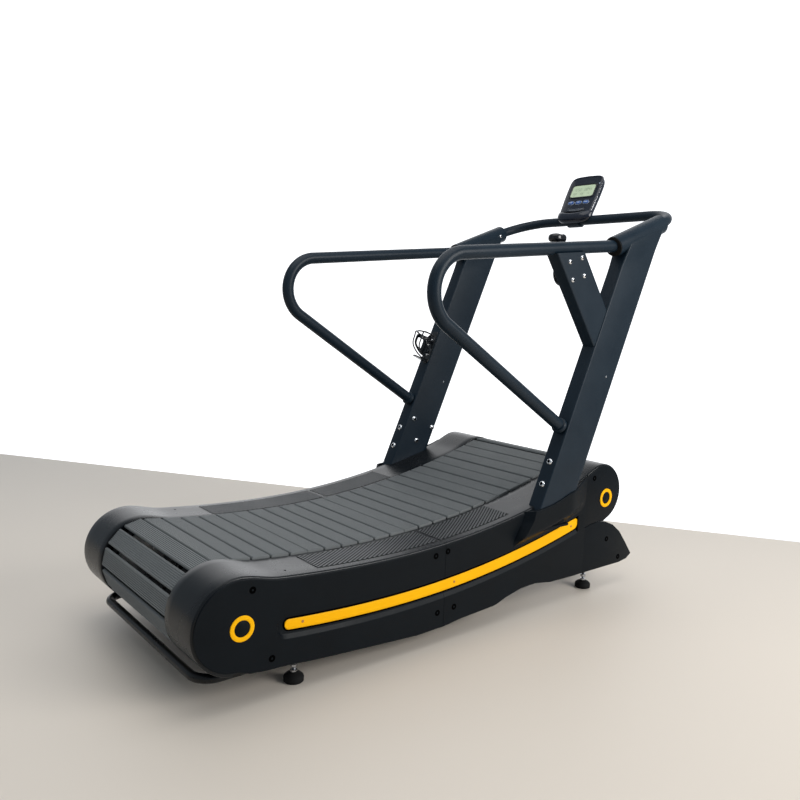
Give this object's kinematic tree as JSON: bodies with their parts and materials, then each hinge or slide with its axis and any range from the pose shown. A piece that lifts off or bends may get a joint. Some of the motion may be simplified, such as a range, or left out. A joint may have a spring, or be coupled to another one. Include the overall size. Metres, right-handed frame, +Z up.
{
  "type": "curved manual treadmill",
  "caption": "Motorless curved treadmill with a slatted belt, shrouded side decks, slanted uprights, bent handrails, a resistance lever, a bottle cage and a small console.",
  "frame": {"origin": "on the floor, under the centre of the bounding box", "axes": "+Z up, +Y the way the runner faces, towards the console, +X the runner's right, where the resistance lever is"},
  "size_m": [0.8701, 2.0596, 1.5767],
  "materials": {
    "charcoal_paint": "satin powder coat",
    "black_plastic": "fine grain",
    "deck_grey": "textured",
    "slat_rubber": "ribbed",
    "yellow_trim": "satin",
    "steel": "plated",
    "black_rubber": "matte",
    "gloss_black": "gloss",
    "lcd_glass": "clear lens over a pale green display",
    "button_blue": "satin"
  },
  "bodies": {
    "base": {"bearing_front_left": "steel", "bearing_front_right": "steel", "bearing_rear_left": "steel", "bearing_rear_right": "steel", "bottle_cage": "black_plastic", "brake_cable": "black_rubber", "console_back": "black_plastic", "console_clamp": "charcoal_paint", "console_front": "black_plastic", "crossbar": "charcoal_paint", "deck_front_left": "deck_grey", "deck_front_right": "deck_grey", "deck_rear_left": "deck_grey", "deck_rear_right": "deck_grey", "display_lens": "lcd_glass", "frame_weldment": "charcoal_paint", "guide_plate_left": "charcoal_paint", "guide_plate_right": "charcoal_paint", "gusset_arm": "charcoal_paint", "handrail_left": "charcoal_paint", "handrail_right": "charcoal_paint", "levelling_foot_front_left": "black_rubber", "levelling_foot_front_right": "black_rubber", "levelling_foot_rear_left": "black_rubber", "levelling_foot_rear_right": "black_rubber", "lever_hub": "black_plastic", "lift_bar": "charcoal_paint", "rail_bush_left": "black_plastic", "rail_bush_right": "black_plastic", "ring_front_left": "yellow_trim", "ring_front_right": "yellow_trim", "ring_rear_left": "yellow_trim", "ring_rear_right": "yellow_trim", "running_belt": "slat_rubber", "side_panel_front_left": "black_plastic", "side_panel_front_right": "black_plastic", "side_panel_rear_left": "black_plastic", "side_panel_rear_right": "black_plastic", "sleeve_left": "charcoal_paint", "sleeve_right": "charcoal_paint", "stripe_left": "yellow_trim", "stripe_right": "yellow_trim", "upright_left": "charcoal_paint", "upright_right": "charcoal_paint"},
    "front_drum": {"front_drum": "steel", "brake_disc": "steel"},
    "rear_drum": {"rear_drum": "steel"},
    "resistance_lever": {"resistance_lever": "steel", "lever_knob": "gloss_black"},
    "magnet_carrier": {"magnet_carrier": "steel"},
    "transport_wheel_right": {"transport_wheel_right": "black_rubber"},
    "transport_wheel_left": {"transport_wheel_left": "black_rubber"},
    "guide_roller_1": {"guide_roller_1": "steel"},
    "guide_roller_2": {"guide_roller_2": "steel"},
    "guide_roller_3": {"guide_roller_3": "steel"},
    "guide_roller_4": {"guide_roller_4": "steel"},
    "guide_roller_5": {"guide_roller_5": "steel"},
    "console_button_left": {"console_button_left": "button_blue"},
    "console_button_middle": {"console_button_middle": "button_blue"},
    "console_button_right": {"console_button_right": "button_blue"}
  },
  "joints": [
    {"name": "front_drum_spin", "type": "hinge", "parent": "base", "child": "front_drum", "pos_m": [0, 0.5493, 0.36776], "axis": [1, 0, 0], "continuous": true},
    {"name": "rear_drum_spin", "type": "hinge", "parent": "base", "child": "rear_drum", "pos_m": [0, -0.90076, 0.21982], "axis": [1, 0, 0], "continuous": true},
    {"name": "guide_roller_1_spin", "type": "hinge", "parent": "base", "child": "guide_roller_1", "pos_m": [0, -0.7458, 0.2905], "axis": [1, 0, 0], "continuous": true},
    {"name": "guide_roller_2_spin", "type": "hinge", "parent": "base", "child": "guide_roller_2", "pos_m": [0, -0.4832, 0.27684], "axis": [1, 0, 0], "continuous": true},
    {"name": "guide_roller_3_spin", "type": "hinge", "parent": "base", "child": "guide_roller_3", "pos_m": [0, -0.21995, 0.28258], "axis": [1, 0, 0], "continuous": true},
    {"name": "guide_roller_4_spin", "type": "hinge", "parent": "base", "child": "guide_roller_4", "pos_m": [0, 0.04349, 0.312], "axis": [1, 0, 0], "continuous": true},
    {"name": "guide_roller_5_spin", "type": "hinge", "parent": "base", "child": "guide_roller_5", "pos_m": [0, 0.30678, 0.3653], "axis": [1, 0, 0], "continuous": true},
    {"name": "lever_swing", "type": "hinge", "parent": "base", "child": "resistance_lever", "pos_m": [0.357, 0.3045, 1.145], "axis": [1, 0, 0], "range_deg": [-25, 35]},
    {"name": "magnet_swing", "type": "hinge", "parent": "base", "child": "magnet_carrier", "pos_m": [0.28, 0.4275, 0.33], "axis": [1, 0, 0], "range_deg": [-6, 6]},
    {"name": "transport_wheel_right_spin", "type": "hinge", "parent": "base", "child": "transport_wheel_right", "pos_m": [0.2, 0.6335, 0.078], "axis": [1, 0, 0], "continuous": true},
    {"name": "transport_wheel_left_spin", "type": "hinge", "parent": "base", "child": "transport_wheel_left", "pos_m": [-0.2, 0.6335, 0.078], "axis": [1, 0, 0], "continuous": true},
    {"name": "console_button_left_press", "type": "slide", "parent": "base", "child": "console_button_left", "axis": [0, 0.891, -0.454], "range_m": [0, 0.0015], "stiffness_N_per_m": 300},
    {"name": "console_button_middle_press", "type": "slide", "parent": "base", "child": "console_button_middle", "axis": [0, 0.891, -0.454], "range_m": [0, 0.0015], "stiffness_N_per_m": 300},
    {"name": "console_button_right_press", "type": "slide", "parent": "base", "child": "console_button_right", "axis": [0, 0.891, -0.454], "range_m": [0, 0.0015], "stiffness_N_per_m": 300}
  ],
  "couplings": [
    {"joint": "rear_drum_spin", "follows": "front_drum_spin", "ratio": 0.7864},
    {"joint": "guide_roller_1_spin", "follows": "front_drum_spin", "ratio": 5.0625},
    {"joint": "guide_roller_2_spin", "follows": "front_drum_spin", "ratio": 5.0625},
    {"joint": "guide_roller_3_spin", "follows": "front_drum_spin", "ratio": 5.0625},
    {"joint": "guide_roller_4_spin", "follows": "front_drum_spin", "ratio": 5.0625},
    {"joint": "guide_roller_5_spin", "follows": "front_drum_spin", "ratio": 5.0625},
    {"joint": "magnet_swing", "follows": "lever_swing", "ratio": 0.16}
  ]
}
